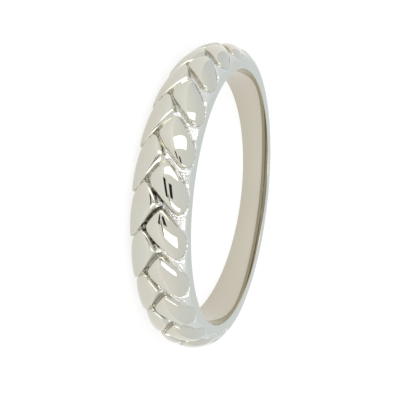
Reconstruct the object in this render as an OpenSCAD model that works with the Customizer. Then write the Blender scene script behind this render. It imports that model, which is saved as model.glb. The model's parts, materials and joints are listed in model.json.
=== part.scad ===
// Braided band ring: one polished casting, lying on its flat side.
// The band is widest and thickest at its crest, which faces +X, and tapers to a plain shank.
// A raised plait of crossing leaves covers the crest side and melts into the shank.

/* [Ring size] */
// Inner diameter, where the finger goes through
bore_d = 17.3; // [14:0.1:22]

/* [Band] */
// Width of the band at its crest, along the finger
crest_w = 3.65; // [3:0.05:5]
// Width of the shank opposite the crest
shank_w = 1.95; // [1.4:0.05:2.8]
// Thickness of the band at its crest, up to the tops of the leaves
crest_t = 2.1; // [1.8:0.05:3]
// Thickness of the shank
shank_t = 1.2; // [1:0.05:1.7]
// Height of the flat side wall at the crest
crest_side_h = 0.95; // [0.8:0.05:1.3]
// Height of the flat side wall of the shank
shank_side_h = 0.55; // [0.3:0.05:0.8]

/* [Plait] */
// Distance from one leaf to the next along the crest
leaf_pitch = 3.05; // [2.6:0.05:3.6]
// Depth of the channels between the leaves at the crest
channel_depth = 0.38; // [0.15:0.01:0.5]
// Width of the sloping side of a leaf, down to the channel
flank_w = 0.2; // [0.1:0.01:0.3]
// How far the top of a leaf rolls off towards its edge
roll_drop = 0.07; // [0:0.01:0.15]
// How far in from its edge the top of a leaf starts to roll off
roll_w = 0.55; // [0.2:0.05:1]
// How much lower a leaf starts beside the one that crosses it
start_dip = 0.08; // [0:0.01:0.15]
// Distance over which a leaf rises from its low start
dip_l = 0.8; // [0.4:0.05:1.5]
// Angle from the crest where the plait begins to fade
fade_start = 66; // [40:2:80]
// Angle from the crest where the shank is plain
fade_end = 112; // [90:2:150]

/* [Hidden] */

// Outlines of the two leaves that repeat round the band, drawn clockwise on the band's top laid flat:
// along the band in shares of the leaf pitch, and across it in shares of half the flat width.
// The edge from the last point to the first is where a leaf comes out from under the one that crosses it.
upper_leaf = [
    [0.10, 0.19], [0.17, 0.28], [0.62, 0.73], [0.76, 0.83], [0.90, 0.87], [1.05, 0.83], [1.15, 0.74],
    [1.18, 0.63], [1.12, 0.51], [0.88, 0.20], [0.64, -0.11], [0.53, -0.17], [0.44, -0.14]
];
lower_leaf = [
    [0.97, 0.05], [1.04, 0.01], [1.42, -0.27], [1.57, -0.39], [1.72, -0.55], [1.80, -0.68], [1.82, -0.80],
    [1.76, -0.91], [1.60, -0.97], [1.40, -0.97], [1.20, -0.90], [0.90, -0.69], [0.67, -0.44], [0.55, -0.25]
];
// Where the outlines begin, in leaf pitches back from the middle of the crest
plait_start = 1.1;

// How square the band's domed back is: 2 is a true ellipse
dome_power = 2.2;

// Angle between stations along the plait and along the plain shank
plait_step = 1.12;
shank_step = 6;
// Points across the band, from one side wall to the other
points_across = 22;
// How much the points crowd towards the side walls, where the dome is steep
edge_crowding = 0.5;
// Depth that the blank reaches into the bore before the bore is cut
bore_stock = 0.3;

bore_r = bore_d / 2;
crest_r = bore_r + crest_t;
mean_half_w = (crest_w + shank_w) / 4;
// The side faces are flat and lean apart towards the crest
side_slope = (crest_w - shank_w) / 4 / bore_r;
rest_tilt = atan(side_slope);

// 0 opposite the crest, 1 at the crest
function crestward(a) = (1 + cos(a)) / 2;
function mix(from, to, share) = from + (to - from) * share;
function clamp(x) = min(max(x, 0), 1);
function ease(x) = let (t = clamp(x)) t * t * (3 - 2 * t);
function half_width(r, a) = mean_half_w + side_slope * r * cos(a);
function thickness(a) = mix(shank_t, crest_t, crestward(a));
function side_height(a) = mix(shank_side_h, crest_side_h, crestward(a));

// Height of the smooth band over the bore at angle a and share v of the half width
function dome(a, v) =
    mix(side_height(a), thickness(a), pow(1 - pow(min(abs(v), 1), dome_power), 1 / dome_power));

// Share of the half width at point j of those across the band
function across(j) = let (u = 2 * j / points_across - 1) mix(u, sin(90 * u), edge_crowding);

// Distance of each of those points from the first, over the crest's domed top
function crest_point(j) =
    let (height = dome(0, across(j)))
    [across(j) * half_width(bore_r + height, 0), height];
function crest_step(j) = norm(crest_point(j + 1) - crest_point(j));
laid_flat = [for (j = 0, s = 0; j <= points_across; s = s + crest_step(j), j = j + 1) s];
half_flat_w = laid_flat[points_across] / 2;

function to_size(outline) = [for (p = outline) [p.x * leaf_pitch, p.y * half_flat_w]];
leaves = [to_size(upper_leaf), to_size(lower_leaf)];

// Distance of point p from the line between two points, positive on the inner side of an outline
function off_line(from, to, p) = cross(p - from, to - from) / norm(to - from);
function edge_distance(leaf, p) =
    let (count = len(leaf))
    min([for (i = [0:count - 1]) off_line(leaf[i], leaf[(i + 1) % count], p)]);

// Depth of a leaf at point p, which grows down its sloping side to the channel
function leaf_depth(leaf, p) =
    let (
        edge = edge_distance(leaf, p),
        run = off_line(leaf[len(leaf) - 1], leaf[0], p)
    )
    roll_drop * pow(1 - clamp(edge / roll_w), 2)
    + start_dip * (1 - ease(run / dip_l))
    + channel_depth * ease(-edge / flank_w);

// Place along a leaf's pitch of angle a, counted from the leaf's left end
function leaf_place(leaf, a) =
    let (
        left = min([for (p = leaf) p.x]),
        pitches = (a * PI / 180 * crest_r - left) / leaf_pitch + plait_start
    )
    left + (pitches - floor(pitches)) * leaf_pitch;

// A leaf is a little longer than one pitch, so the leaf before it is looked at too
function plait_depth(a, s) =
    min(channel_depth, min([
        for (leaf = leaves, turn = [0:1])
            leaf_depth(leaf, [leaf_place(leaf, a) + turn * leaf_pitch, s])
    ]));

// The plait grows shallower with the width of the band, and fades to nothing on the plain shank
function relief(a) =
    half_width(bore_r, a) / (crest_w / 2) * ease((fade_end - abs(a)) / (fade_end - fade_start));

function outer_height(a, j) =
    dome(a, across(j)) - relief(a) * (relief(a) == 0 ? 0 : plait_depth(a, laid_flat[j] - half_flat_w));

function band_point(a, v, height) =
    let (r = bore_r + height)
    [r * cos(a), r * sin(a), v * half_width(r, a)];

// Closed section of the band at angle a: two points in the bore's stock and the outer curve
function section(a) = concat(
    [band_point(a, -1, -bore_stock)],
    [for (j = [0:points_across]) band_point(a, across(j), outer_height(a, j))],
    [band_point(a, 1, -bore_stock)]
);

plait_stations = 2 * ceil(fade_end / plait_step);
shank_stations = ceil((360 - 2 * fade_end) / shank_step);
stations = concat(
    [for (i = [0:plait_stations]) mix(-fade_end, fade_end, i / plait_stations)],
    [for (i = [1:shank_stations - 1]) mix(fade_end, 360 - fade_end, i / shank_stations)]
);

blank_points = [for (a = stations) each section(a > 180 ? a - 360 : a)];
function reach(i) = norm([blank_points[i].x, blank_points[i].y]);
function rise(i, j) = abs(reach(i) - reach(j));

// Each patch is split along its flatter diagonal, so that the channels run clean both ways
module blank() {
    rows = len(stations);
    columns = points_across + 3;
    polyhedron(
        points = blank_points,
        faces = [
            for (i = [0:rows - 1], j = [0:columns - 1])
                let (
                    near = i * columns + j,
                    far = (i + 1) % rows * columns + j,
                    side = (j + 1) % columns - j,
                    flatter = rise(near, far + side) <= rise(near + side, far)
                )
                each flatter
                    ? [[near, near + side, far + side], [near, far + side, far]]
                    : [[near, near + side, far], [near + side, far + side, far]]
        ],
        convexity = 6
    );
}

// The band with its round bore, turned so that one flat side lies on the surface
module braided_band() {
    color("silver")
        rotate([0, -rest_tilt, 0])
            translate([0, 0, mean_half_w])
                difference() {
                    blank();
                    cylinder(r = bore_r, h = 4 * crest_w, center = true, $fn = 180);
                }
}

braided_band();
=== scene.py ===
import json
import math
import bpy
import numpy as np
from mathutils import Matrix, Vector


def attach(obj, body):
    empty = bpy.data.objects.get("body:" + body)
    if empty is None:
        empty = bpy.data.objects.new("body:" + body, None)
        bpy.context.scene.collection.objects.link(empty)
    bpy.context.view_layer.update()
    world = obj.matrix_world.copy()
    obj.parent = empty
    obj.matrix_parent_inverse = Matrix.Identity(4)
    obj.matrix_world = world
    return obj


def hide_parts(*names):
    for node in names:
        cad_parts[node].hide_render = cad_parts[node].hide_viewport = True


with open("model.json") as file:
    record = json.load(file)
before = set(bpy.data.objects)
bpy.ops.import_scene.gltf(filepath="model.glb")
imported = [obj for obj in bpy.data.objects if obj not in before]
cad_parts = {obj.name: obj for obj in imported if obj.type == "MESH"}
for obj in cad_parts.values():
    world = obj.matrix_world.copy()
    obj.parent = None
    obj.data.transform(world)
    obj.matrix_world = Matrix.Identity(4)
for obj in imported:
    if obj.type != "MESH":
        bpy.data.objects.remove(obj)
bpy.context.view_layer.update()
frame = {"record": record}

mm = 0.001
fingerHole = next(m for m in frame["record"]["mounts"] if m["name"] == "finger_hole")


def hexColour(text, alpha=1.0):
    # sRGB hex to the linear values that the shaders take
    parts = [int(text[i:i + 2], 16) / 255 for i in (1, 3, 5)]
    return [c / 12.92 if c <= 0.04045 else ((c + 0.055) / 1.055) ** 2.4 for c in parts] + [alpha]


def addNode(tree, kind, settings=None, links=None, **values):
    # one node: its settings, its fixed sockets, and the sockets that other nodes feed
    node = tree.nodes.new(kind)
    for name, value in (settings or {}).items():
        setattr(node, name, value)
    for name, value in values.items():
        node.inputs[name.replace("_", " ")].default_value = value
    for name, source in (links or {}).items():
        tree.links.new(source, node.inputs[name])
    return node


def newMaterial(name):
    material = bpy.data.materials.new(name)
    material.use_nodes = True
    material.node_tree.nodes.clear()
    return material, material.node_tree


def deselectAll():
    if bpy.context.object and bpy.context.object.mode != "OBJECT":
        bpy.ops.object.mode_set(mode="OBJECT")
    bpy.ops.object.select_all(action="DESELECT")


# The band: all lengths in millimetres, angles in degrees from the crest
band = {
    "boreRadius": fingerHole["dims"]["r_mm"],
    "crestWidth": 3.65,
    "shankWidth": 1.95,
    "crestThickness": 2.1,
    "shankThickness": 1.2,
    "crestSideWall": 0.95,
    "shankSideWall": 0.55,
    "domePower": 2.2,        # 2 is a true half round
    "mouthRounding": 0.08,   # the polished edge of the finger hole
    "plaitArc": 230.0,       # the stretch that carries the plait and is meshed finely
    "plaitSteps": 880,       # sections along that stretch, and along the plain shank
    "shankSteps": 80,
    "cutsAcross": 81,        # cuts across the band's back, and up each side wall
    "cutsUpWall": 4,
    "mouthSteps": 4,         # facets of the rounded edge
    "edgeCrowding": 0.5,     # crowds the cuts towards the walls, where the dome is steep
}
# The plait: two leaf outlines that repeat round the band, drawn clockwise on its top laid flat, along the
# band in pitches and across it in shares of half the flat width. The line from the last point to the first
# is where a leaf comes out from under the one that crosses it.
plait = {
    "pitch": 3.05,           # mm along the crest
    "start": 1.1,            # pitches back from the crest's middle to where the outlines begin
    "upperLeaf": [
        (0.10, 0.19), (0.17, 0.28), (0.62, 0.73), (0.76, 0.83), (0.90, 0.87), (1.05, 0.83), (1.15, 0.74),
        (1.18, 0.63), (1.12, 0.51), (0.88, 0.20), (0.64, -0.11), (0.53, -0.17), (0.44, -0.14),
    ],
    "lowerLeaf": [
        (0.97, 0.05), (1.04, 0.01), (1.42, -0.27), (1.57, -0.39), (1.72, -0.55), (1.80, -0.68),
        (1.82, -0.80), (1.76, -0.91), (1.60, -0.97), (1.40, -0.97), (1.20, -0.90), (0.90, -0.69),
        (0.67, -0.44), (0.55, -0.25),
    ],
    # the crown line that each leaf is domed about, and half the leaf's width across it in mm
    "upperCrown": [(0.40, 0.08), (0.77, 0.55)],
    "lowerCrown": [(0.85, -0.21), (1.35, -0.61)],
    "crownHalfWidth": 0.85,
    "upperDrop": 0.115,      # how far each kind of leaf falls from its crown line to there
    "lowerDrop": 0.03,
    "channelDepth": 0.38,
    "floorPower": 1.5,       # the channel floors meet the side walls at their tops
    "flank": 0.14,           # width of the steep side of a leaf
    "chamfer": 0.34,         # width of a lower leaf's polished slope, beside the start of an upper leaf
    "chamferReach": (0.45, 0.55),  # how far from the upper leaf that slope ends
    "chamferFacing": (0.6, 0.9),   # how squarely it has to face the line where the upper leaf starts
    "upperEdgeDrop": 0.03,   # how far a leaf's top rolls off towards its edge
    "lowerEdgeDrop": 0.05,
    "rollOff": 0.3,          # how far in from the edge the roll starts
    "lobe": 0.08,            # how much narrower a lower leaf stands at its sides than at its crown line
    "lobeWall": 0.8,         # and how much lower it meets the side wall there
    "crestRounding": 0.2,    # share of both that is left at the crest
    "roundingArc": (30.0, 75.0),   # degrees from the crest over which the rest comes in
    "startDip": 0.03,        # how much lower a leaf starts beside the one that crosses it
    "dipLength": 0.5,        # and over what length it rises
    "toeDepth": 0.07,        # the graver's line at the foot of each leaf
    "toeWidth": 0.07,
    "toePaintedShade": 0.25,      # painted shade in that line, where the foot of a leaf lies in shade
    "cutPitch": 0.17,        # the graver's strokes along the floors
    "cutDepth": 0.02,
    "lumpSize": 0.26,        # the uneven floors that the casting left
    "lumpDepth": 0.011,
    "lumpWaves": 14,
    "floorSunk": (0.3, 1.0),       # shares of the channel depth between which a floor takes lines and lumps
    # heights at the lower and the upper side wall: of a leaf's dome, of the floor beside a leaf's tip,
    # and of the floor where a channel runs out between two tips
    "leafWalls": (0.72, 0.6),
    "tipWalls": (0.25, 0.72),
    "channelWalls": (0.35, 1.05),
    "tipReach": (0.3, 0.75),       # how far along the wall from a tip the first floor turns into the second
    # painted shade, the dark of the tight channels, stays where both an upper and a lower leaf are near, from
    # above the crest's middle downwards
    "tightUpper": (0.24, 0.32),
    "tightLower": (0.4, 0.55),
    "paintedShadeStart": (-1.5, -1.0),
    "paintedShadeThins": (2.4, 3.4),
    "paintedShadeLoss": 0.6,            # share of it that is gone past there
    "paintedShadeMottle": (0.9, 0.3),   # its mean strength and how much that varies with the lumps
    # shares of the flank, down which the polished leaf turns to bare floor and painted shade
    "bareFlank": (0.7, 1.2),
    "paintedShadeFlank": (0.3, 0.7),
    "fadeStarts": (76.0, 90.0),    # degrees from the crest where the plait begins to fade, on either side
    "fadeEnd": 114.0,
}
meanHalfWidth = (band["crestWidth"] + band["shankWidth"]) / 4
sideSlope = (band["crestWidth"] - band["shankWidth"]) / 4 / band["boreRadius"]
restTilt = math.atan(sideSlope)


def ringToFloor(point):
    # from the ring's own axes to the lying ring: lifted onto its lower side face, then tilted level
    x, y, z = point
    z = z + meanHalfWidth
    level, lift = math.cos(restTilt), math.sin(restTilt)
    return (x * level - z * lift, y, x * lift + z * level)


def mix(start, end, share):
    return start + (end - start) * share


def smoothStep(low, high, value):
    t = np.clip((value - low) / (high - low), 0, 1)
    return t * t * (3 - 2 * t)


def halfWidth(radius, angle):
    return meanHalfWidth + sideSlope * radius * np.cos(angle)


def sideWall(angle):
    return mix(band["shankSideWall"], band["crestSideWall"], (1 + np.cos(angle)) / 2)


def domed(wall, middle, across, power):
    return mix(wall, middle, np.power(1 - np.power(np.minimum(np.abs(across), 1), power), 1 / power))


def domeHeight(angle, across):
    middle = mix(band["shankThickness"], band["crestThickness"], (1 + np.cos(angle)) / 2)
    return domed(sideWall(angle), middle, across, band["domePower"])


def rounded(outline):
    # a closed outline with its corners cut twice
    for cut in range(2):
        ends = zip(outline, outline[1:] + outline[:1])
        outline = [(mix(p[0], q[0], t), mix(p[1], q[1], t)) for p, q in ends for t in (0.25, 0.75)]
    return outline


farAway = 9.0    # mm, past anything that is measured across the band


def insideDistance(outline, u, s):
    # distance in from a closed outline, negative outside it
    nearest = np.full(np.shape(u), farAway)
    inside = np.zeros(np.shape(u), bool)
    for (ax, ay), (bx, by) in zip(outline, outline[1:] + outline[:1]):
        ex, ey = bx - ax, by - ay
        t = np.clip(((u - ax) * ex + (s - ay) * ey) / (ex * ex + ey * ey), 0, 1)
        nearest = np.minimum(nearest, np.hypot(u - ax - t * ex, s - ay - t * ey))
        if ay != by:
            inside ^= ((ay > s) != (by > s)) & (u < ax + (s - ay) * ex / ey)
    return np.where(inside, nearest, -nearest)


def lumps(x, y, z):
    # a fixed uneven pattern about 0, as a casting's floor has
    rng = np.random.default_rng(5)
    count = plait["lumpWaves"]
    waves = rng.normal(size=(count, 3))
    waves *= (2 * math.pi / plait["lumpSize"]) / np.linalg.norm(waves, axis=1, keepdims=True)
    phases = rng.uniform(0, 2 * math.pi, count)
    total = sum(np.sin(kx * x + ky * y + kz * z + p) for (kx, ky, kz), p in zip(waves, phases))
    return total / math.sqrt(count / 2)


def flatLengths():
    # shares across the band, and the length over the crest's dome to each from its middle
    shares = np.linspace(-1, 1, 1601)
    crest = domeHeight(0, shares)
    steps = np.hypot(np.diff(crest), np.diff(shares * halfWidth(band["boreRadius"] + crest, 0)))
    length = np.concatenate([[0], np.cumsum(steps)])
    return shares, length - length[-1] / 2


def plaitSurface(angle, across):
    # height over the bore, the share of bare channel floor, and the share of painted shade
    size = halfWidth(band["boreRadius"], angle) / (band["crestWidth"] / 2)
    shares, lengths = flatLengths()
    halfFlat = lengths[-1]
    s = np.interp(across, shares, lengths)
    along = (band["boreRadius"] + band["crestThickness"]) * angle
    u = along + plait["start"] * plait["pitch"]
    smooth = domeHeight(angle, across)
    middle = domeHeight(angle, np.zeros(np.shape(angle)))
    away = {kind: np.full(np.shape(angle), farAway) for kind in ("upper", "lower")}
    edgeAway = np.full(np.shape(angle), farAway)
    tops = []
    polished = np.zeros(np.shape(angle))
    rounding = mix(plait["crestRounding"], 1, smoothStep(*plait["roundingArc"], np.abs(np.degrees(angle))))
    for kind in ("upper", "lower"):
        outline, crown = (
            [(x * plait["pitch"], y * halfFlat) for x, y in plait[kind + part]] for part in ("Leaf", "Crown")
        )
        soft = rounded(outline)
        (cx, cy), (dx, dy) = crown
        (ax, ay), (bx, by) = outline[-1], outline[0]
        left = min(p[0] for p in outline)
        local = (u - left) % plait["pitch"] + left
        for shift in (-plait["pitch"], 0, plait["pitch"]):
            place = local + shift
            inward = insideDistance(soft, place, s)
            # run: how far past the line where the leaf starts; aside: how far from its crown line
            run = ((place - ax) * (by - ay) - (s - ay) * (bx - ax)) / math.hypot(bx - ax, by - ay)
            aside = ((place - cx) * (dy - cy) - (s - cy) * (dx - cx)) / math.hypot(dx - cx, dy - cy)
            drop = (
                plait[kind + "Drop"] * (aside / plait["crownHalfWidth"]) ** 2
                + plait[kind + "EdgeDrop"] * (1 - np.clip(inward / plait["rollOff"], 0, 1)) ** 2
                + plait["startDip"] * (1 - smoothStep(0, plait["dipLength"], run))
            )
            slope = smoothStep(0, plait["flank"], -inward)
            if kind == "upper":
                faces = smoothStep(*plait["chamferFacing"], run / np.minimum(inward, -0.001)) * (inward < 0)
                polished = np.maximum(polished, faces * (1 - smoothStep(*plait["chamferReach"], -inward)))
            else:
                slope = mix(slope, np.clip(-inward / plait["chamfer"], 0, 1), polished)
            lobe = (aside / plait["crownHalfWidth"]) ** 2 * (across < 0) * rounding
            tops.append((drop, slope, lobe))
            away[kind] = np.minimum(away[kind], -inward)
            edgeAway = np.minimum(edgeAway, -insideDistance(soft, place, np.sign(across) * halfFlat))
    # the tight channels, between an upper and a lower leaf, take painted shade on the lower half of the crest
    byUpper = 1 - smoothStep(*plait["tightUpper"], away["upper"])
    byLower = 1 - smoothStep(*plait["tightLower"], away["lower"])
    paintedShade = byUpper * byLower * smoothStep(*plait["paintedShadeStart"], along)
    paintedShade = paintedShade * (1 - plait["paintedShadeLoss"] * smoothStep(*plait["paintedShadeThins"], along))
    away = np.minimum(away["upper"], away["lower"])
    # a leaf's tip rounds over far down the side, and the channels run out high between the tips
    tip = 1 - smoothStep(*plait["tipReach"], edgeAway)
    leafWall, channelWall, tipWall = (
        np.where(across < 0, *plait[name]) * size for name in ("leafWalls", "channelWalls", "tipWalls")
    )
    base = mix(channelWall, tipWall, tip)
    floor = domed(base, middle - plait["channelDepth"] * size, across, plait["floorPower"])
    toe = np.exp(-(((away - plait["flank"]) / plait["toeWidth"]) ** 2))
    strokes = plait["cutDepth"] * np.sin(2 * math.pi * away / plait["cutPitch"])
    radius = band["boreRadius"] + smooth
    uneven = lumps(radius * np.cos(angle), radius * np.sin(angle), across * band["crestWidth"] / 2)
    # painted shade along the foot of each leaf, mottled with the lumps
    foot = plait["toePaintedShade"] * toe * np.clip(0.5 + 0.5 * uneven, 0, 1) * (1 - polished)
    strength, variation = plait["paintedShadeMottle"]
    paintedShade = np.maximum(paintedShade * np.clip(strength + variation * uneven, 0, 1), foot)
    sunk = smoothStep(*plait["floorSunk"], (smooth - floor) / plait["channelDepth"])
    rough = (strokes + plait["lumpDepth"] * uneven) * smoothStep(plait["flank"], 2 * plait["flank"], away)
    floor = floor - (plait["toeDepth"] * toe - rough) * sunk
    height = floor
    for drop, slope, lobe in tops:
        wall = leafWall * (1 - plait["lobeWall"] * np.minimum(lobe, 1))
        top = domed(wall, middle, across * (1 + plait["lobe"] * lobe), band["domePower"])
        height = np.maximum(height, mix(top - drop, floor, slope))
    fadeStart = np.where(angle < 0, *plait["fadeStarts"])
    fade = smoothStep(0, 1, (plait["fadeEnd"] - np.degrees(np.abs(angle))) / (plait["fadeEnd"] - fadeStart))
    flankShare = away / plait["flank"]
    bare = smoothStep(*plait["bareFlank"], flankShare) * (1 - polished) * fade
    paintedShade = paintedShade * smoothStep(*plait["paintedShadeFlank"], flankShare) * fade
    return mix(smooth, height, fade), bare, paintedShade


def makeBlank():
    # the crest's section, a plain rectangle standing on the bore, opened and swept round the finger's axis
    wall = band["crestSideWall"] * mm
    inner = band["boreRadius"] * mm
    deselectAll()
    bpy.ops.mesh.primitive_plane_add(size=1, location=(inner + wall / 2, 0, 0), rotation=(math.pi / 2, 0, 0))
    blank = bpy.context.object
    blank.scale = (wall, band["crestWidth"] * mm, 1)
    bpy.ops.object.transform_apply(location=True, rotation=True, scale=True)
    bpy.ops.object.mode_set(mode="EDIT")
    bpy.ops.mesh.delete(type="ONLY_FACE")
    bpy.ops.object.mode_set(mode="OBJECT")

    def selectEdges(test):
        mesh = blank.data
        for part in (mesh.vertices, mesh.edges):
            part.foreach_set("select", [False] * len(part))
        for edge in mesh.edges:
            edge.select = test((mesh.vertices[edge.vertices[0]].co + mesh.vertices[edge.vertices[1]].co) / 2)
            for i in edge.vertices:
                mesh.vertices[i].select = mesh.vertices[i].select or edge.select

    def inEdit(*steps):
        bpy.ops.object.mode_set(mode="EDIT")
        bpy.ops.mesh.select_mode(type="EDGE")
        for step in steps:
            step()
        bpy.ops.object.mode_set(mode="OBJECT")

    # round the two corners at the finger hole
    mesh = blank.data
    for vertex in mesh.vertices:
        vertex.select = vertex.co.x < inner + wall / 2
    for edge in mesh.edges:
        edge.select = all(mesh.vertices[i].select for i in edge.vertices)
    bpy.ops.object.mode_set(mode="EDIT")
    bpy.ops.mesh.select_mode(type="VERT")
    bpy.ops.mesh.bevel(offset=band["mouthRounding"] * mm, segments=band["mouthSteps"], affect="VERTICES")
    bpy.ops.object.mode_set(mode="OBJECT")

    tiny = 1e-7    # m, within which two places are the same
    halfCrest = band["crestWidth"] / 2 * mm
    selectEdges(lambda p: abs(p.x - inner - wall) < tiny)
    inEdit(lambda: bpy.ops.mesh.subdivide(number_cuts=band["cutsAcross"]))
    selectEdges(lambda p: abs(abs(p.z) - halfCrest) < tiny and p.x < inner + wall - tiny)
    inEdit(lambda: bpy.ops.mesh.subdivide(number_cuts=band["cutsUpWall"]))
    selectEdges(lambda p: abs(p.x - inner) < tiny)
    inEdit(lambda: bpy.ops.mesh.subdivide(number_cuts=1))

    # sweep copies of the section round the finger's axis: finely under the plait, coarsely round the shank
    arc = math.radians(band["plaitArc"])
    sweeps = [(-arc / 2, arc, band["plaitSteps"]), (arc / 2, 2 * math.pi - arc, band["shankSteps"])]
    stretches = []
    for start, sweep, steps in sweeps:
        deselectAll()
        blank.select_set(True)
        bpy.context.view_layer.objects.active = blank
        bpy.ops.object.duplicate()
        stretch = bpy.context.object
        stretch.data.transform(Matrix.Rotation(start, 4, "Z"))
        turn = stretch.modifiers.new("turn", "SCREW")
        turn.angle = sweep
        turn.steps = turn.render_steps = steps
        bpy.ops.object.modifier_apply(modifier=turn.name)
        stretches.append(stretch)
    bpy.data.objects.remove(blank)
    deselectAll()
    for stretch in stretches:
        stretch.select_set(True)
    bpy.context.view_layer.objects.active = stretches[0]
    bpy.ops.object.join()
    bpy.ops.object.mode_set(mode="EDIT")
    bpy.ops.mesh.select_all(action="SELECT")
    bpy.ops.mesh.remove_doubles(threshold=1e-6)
    bpy.ops.mesh.normals_make_consistent(inside=False)
    bpy.ops.object.mode_set(mode="OBJECT")
    turned = bpy.context.object
    turned.name = "braidedBand"
    return turned


def raisePlait(piece):
    # taper the blank, dome its back and raise the plait, vertex by vertex
    mesh = piece.data
    count = len(mesh.vertices)
    co = np.empty(count * 3)
    mesh.vertices.foreach_get("co", co)
    co = co.reshape(-1, 3) / mm
    angle = np.arctan2(co[:, 1], co[:, 0])
    across = np.clip(co[:, 2] / (band["crestWidth"] / 2), -1, 1)
    up = np.clip((np.hypot(co[:, 0], co[:, 1]) - band["boreRadius"]) / band["crestSideWall"], 0, 1)
    onBack = up > 0.999
    across = np.where(onBack, mix(across, np.sin(across * math.pi / 2), band["edgeCrowding"]), across)
    height, floor, paintedShade = plaitSurface(angle, across)
    # the wall stretches between the mouth's rounding, which keeps its place, and the back
    offset = up * band["crestSideWall"]
    mouth = band["mouthRounding"]
    stretched = mouth + (offset - mouth) / (band["crestSideWall"] - mouth) * (height - mouth)
    onWall = np.abs(across) > 0.9999
    radius = band["boreRadius"] + np.where(onBack, height, np.where(onWall, stretched, offset))
    x, y, z = ringToFloor((radius * np.cos(angle), radius * np.sin(angle), across * halfWidth(radius, angle)))
    mesh.vertices.foreach_set("co", (np.stack([x, y, z], 1) * mm).ravel())
    # the inside of the bore, which takes its painted shade
    inside = (up < 0.01).astype(float)
    for name, values in (("channelFloor", floor * onBack), ("paintedShade", paintedShade * onBack), ("bore", inside)):
        share = mesh.attributes.new(name, "FLOAT", "POINT")
        share.data.foreach_set("value", values.astype(np.float32))
    mesh.update()
    deselectAll()
    piece.select_set(True)
    bpy.context.view_layer.objects.active = piece
    bpy.ops.object.shade_smooth()


# Rhodium-plated silver, cast and hand polished: a mirror with faint hand-made waves on the leaves, and the
# fine grain of the casting left on the channel floors. The tight channels and the foot of each leaf carry
# painted shade, the bore carries a little painted shade too, and the plate is warmer in patches.
metal = {
    "colour": "#CDCBBF",
    "floorColour": "#D7D6D1",
    # painted shade: the bore a little darker, as the inside takes less light
    "boreShadeColour": "#C3BDAE",
    "warmColour": "#CEC8BA",
    "tintSize": 2.6,         # mm between the warmer patches
    "tintRange": (0.4, 0.75),  # where in the noise they begin and are full
    # painted shade: the dark of the tight channels and of the foot of each leaf
    "paintedShadeColour": "#494641",
    "roughness": 0.05,
    "floorRoughness": 0.24,
    "waveSize": 1.6,         # mm between the soft waves of hand polishing
    "waveHeight": 0.0015,    # mm
    "grainSize": 0.07,       # mm, the grain of investment plaster, drawn a little coarse to show
    "grainHeight": 0.006,    # mm
}


def polishedSilver():
    material, tree = newMaterial("rhodiumPlatedSilverPolished")
    place = addNode(tree, "ShaderNodeTexCoord").outputs["Object"]
    floor, bore, paintedShade = (
        addNode(tree, "ShaderNodeAttribute", {"attribute_name": name}).outputs["Fac"]
        for name in ("channelFloor", "bore", "paintedShade")
    )
    waves, grain, tint = (
        addNode(tree, "ShaderNodeTexNoise", links={"Vector": place},
                Scale=1 / (metal[size] * mm), Detail=detail).outputs["Fac"]
        for size, detail in (("waveSize", 1.0), ("grainSize", 3.0), ("tintSize", 1.0))
    )
    polish = addNode(tree, "ShaderNodeBump", links={"Height": waves},
                     Strength=1.0, Distance=metal["waveHeight"] * mm)
    cast = addNode(tree, "ShaderNodeBump", links={
        "Height": grain, "Normal": polish.outputs["Normal"], "Strength": floor,
    }, Distance=metal["grainHeight"] * mm)
    rough = addNode(tree, "ShaderNodeMapRange", links={"Value": floor},
                    To_Min=metal["roughness"], To_Max=metal["floorRoughness"])
    patches = addNode(tree, "ShaderNodeMapRange", links={"Value": tint},
                      From_Min=metal["tintRange"][0], From_Max=metal["tintRange"][1])
    # the plate with its warmer patches, then the bore's painted shade, the channel floors and the channels'
    # painted shade laid over it
    colour = addNode(tree, "ShaderNodeMix", {"data_type": "RGBA"}, {"Factor": patches.outputs["Result"]},
                     A=hexColour(metal["colour"]), B=hexColour(metal["warmColour"]))
    for share, layer in ((bore, "boreShadeColour"), (floor, "floorColour"), (paintedShade, "paintedShadeColour")):
        colour = addNode(tree, "ShaderNodeMix", {"data_type": "RGBA"},
                         {"Factor": share, "A": colour.outputs["Result"]}, B=hexColour(metal[layer]))
    shader = addNode(tree, "ShaderNodeBsdfPrincipled", links={
        "Base Color": colour.outputs["Result"],
        "Roughness": rough.outputs["Result"],
        "Normal": cast.outputs["Normal"],
    }, Metallic=1.0)
    addNode(tree, "ShaderNodeOutputMaterial", links={"Surface": shader.outputs["BSDF"]})
    return material


print("casting the band")
ring = makeBlank()
raisePlait(ring)
ring.data.materials.append(polishedSilver())
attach(ring, "root")
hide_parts("braided_band")
print("band:", len(ring.data.polygons), "faces")

# The photograph's view: 20 degrees above the plane of the ring, upright in the frame
view = {
    "tilt": 70.26,           # degrees between the line of sight and the finger's axis
    "around": -6.47,         # degrees from the crest
    "roll": -6.61,
    "distance": 90.0,        # mm
    "pixelsPerMm": 14.754,
    "centrePixel": (213.74, 195.1),
    "frame": 400,
    "sensor": 36.0,          # mm
    "clip": (1.0, 10000.0),  # mm
}


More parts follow.
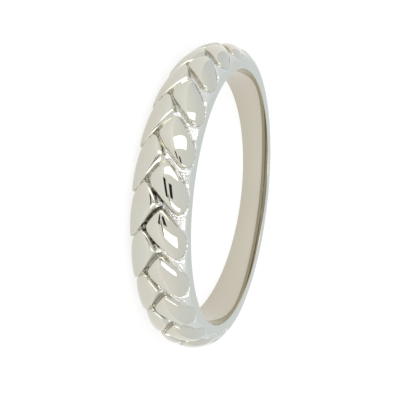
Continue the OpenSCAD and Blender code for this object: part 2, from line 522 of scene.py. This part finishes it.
def makeCamera():
    tilt, around, roll = (math.radians(view[k]) for k in ("tilt", "around", "roll"))
    back = Vector((math.sin(tilt) * math.cos(around), math.sin(tilt) * math.sin(around), math.cos(tilt)))
    side = (Vector((0, 0, 1)) - back * back.z).normalized()
    rise = back.cross(side)
    right = side * math.cos(roll) - rise * math.sin(roll)
    up = side * math.sin(roll) + rise * math.cos(roll)
    lean = Matrix.Rotation(-restTilt, 4, "Y")
    turned = Matrix((right, up, back)).transposed().to_4x4()
    data = bpy.data.cameras.new("photographCamera")
    camera = bpy.data.objects.new("photographCamera", data)
    bpy.context.collection.objects.link(camera)
    place = Matrix.Translation(Vector(ringToFloor(back * view["distance"])) * mm)
    camera.matrix_world = place @ lean @ turned
    data.sensor_width = view["sensor"]
    data.lens = view["sensor"] * view["pixelsPerMm"] * view["distance"] / view["frame"]
    half = view["frame"] / 2
    data.shift_x = (half - view["centrePixel"][0]) / view["frame"]
    data.shift_y = (view["centrePixel"][1] - half) / view["frame"]
    data.clip_start, data.clip_end = (c * mm for c in view["clip"])
    bpy.context.scene.camera = camera


# A matt board that lights itself a little, so that it stays near white under the ring
board = {
    "size": 1.2,             # m
    "gap": 0.01,             # mm below the ring's side face
    "colour": "#7A7A7A",
    "glow": "#FFFFFF",
    "glowStrength": 0.8,
    "roughness": 0.7,
}


def makeFloor():
    deselectAll()
    bpy.ops.mesh.primitive_plane_add(size=board["size"], location=(0, 0, -board["gap"] * mm))
    floor = bpy.context.object
    floor.name = "paleFloor"
    material, tree = newMaterial("mattWhiteBoard")
    shader = addNode(tree, "ShaderNodeBsdfPrincipled", Roughness=board["roughness"],
                     Base_Color=hexColour(board["colour"]), Emission_Color=hexColour(board["glow"]),
                     Emission_Strength=board["glowStrength"])
    addNode(tree, "ShaderNodeOutputMaterial", links={"Surface": shader.outputs["BSDF"]})
    floor.data.materials.append(material)


# The light tent: two long soft boxes give the white patches, and gaps between its cloths the dark streaks
studio = {
    "front": "#FFFFFF",
    "back": "#E3ECF2",
    "overhead": "#F0F4F7",
    "behind": (0.3, -0.6),   # where round the ring, in x, the front cloth turns into the back one
    "tentStrength": 1.08,
    # each box and slit: its name, degrees aside from the crest and up from the floor, width and length in m
    "boxDistance": 0.35,     # m
    "boxRadiance": 1.85,
    "boxes": [("leftBox", -38, 43, 0.115, 0.43), ("rightBox", 24, 47, 0.1, 0.39)],
    "slitDistance": 0.3,
    "slitColour": "#1A1A1A",
    "slitRoughness": 0.9,
    "slits": [
        ("lowerSlit", -3, 4, 0.155, 0.055),
        ("upperSlit", -3, 27, 0.115, 0.07),
        ("sideSlit", 16, 13, 0.12, 0.014),
    ],
}


def facing(aside, up, distance):
    # a place in the studio, turned towards the ring
    a, u = math.radians(aside), math.radians(up)
    back = Vector((math.cos(a) * math.cos(u), math.sin(a), math.cos(a) * math.sin(u)))
    long = Vector((-math.sin(u), 0, math.cos(u)))
    turn = Matrix((long.cross(back), long, back)).transposed().to_4x4()
    return Matrix.Translation(back * distance) @ turn


def makeBox(name, aside, up, width, length):
    # a soft box, its length running up over the ring, as bright per area whatever its size
    data = bpy.data.lights.new(name, "AREA")
    data.shape = "RECTANGLE"
    data.size, data.size_y = width, length
    data.energy = studio["boxRadiance"] * math.pi * width * length
    light = bpy.data.objects.new(name, data)
    bpy.context.collection.objects.link(light)
    light.matrix_world = facing(aside, up, studio["boxDistance"])


def makeSlit(name, aside, up, width, length):
    # a gap in the tent, as a dark card that is seen only as a reflection
    deselectAll()
    bpy.ops.mesh.primitive_plane_add(size=1)
    card = bpy.context.object
    card.name = name
    card.matrix_world = facing(aside, up, studio["slitDistance"]) @ Matrix.Diagonal((width, length, 1, 1))
    material, tree = newMaterial(name + "Card")
    shader = addNode(tree, "ShaderNodeBsdfPrincipled", Roughness=studio["slitRoughness"],
                     Base_Color=hexColour(studio["slitColour"]))
    addNode(tree, "ShaderNodeOutputMaterial", links={"Surface": shader.outputs["BSDF"]})
    card.data.materials.append(material)
    card.visible_camera = False


def makeStudio():
    world = bpy.data.worlds.new("lightTent")
    world.use_nodes = True
    tree = world.node_tree
    tree.nodes.clear()
    # the tent's cloth is a little darker and cooler behind the ring and overhead
    direction = addNode(tree, "ShaderNodeTexCoord")
    parts = addNode(tree, "ShaderNodeSeparateXYZ", links={"Vector": direction.outputs["Generated"]})
    behind = addNode(tree, "ShaderNodeMapRange", links={"Value": parts.outputs["X"]},
                     From_Min=studio["behind"][0], From_Max=studio["behind"][1])
    cloth = addNode(tree, "ShaderNodeMix", {"data_type": "RGBA"}, {"Factor": behind.outputs["Result"]},
                    A=hexColour(studio["front"]), B=hexColour(studio["back"]))
    tent = addNode(tree, "ShaderNodeMix", {"data_type": "RGBA"},
                   {"Factor": parts.outputs["Z"], "A": cloth.outputs["Result"]},
                   B=hexColour(studio["overhead"]))
    background = addNode(tree, "ShaderNodeBackground", links={"Color": tent.outputs["Result"]},
                         Strength=studio["tentStrength"])
    addNode(tree, "ShaderNodeOutputWorld", links={"Surface": background.outputs["Background"]})
    bpy.context.scene.world = world
    bpy.context.scene.view_settings.view_transform = "Standard"
    for box in studio["boxes"]:
        makeBox(*box)
    for slit in studio["slits"]:
        makeSlit(*slit)


print("studio and camera")
makeFloor()
makeStudio()
makeCamera()
bpy.context.view_layer.update()
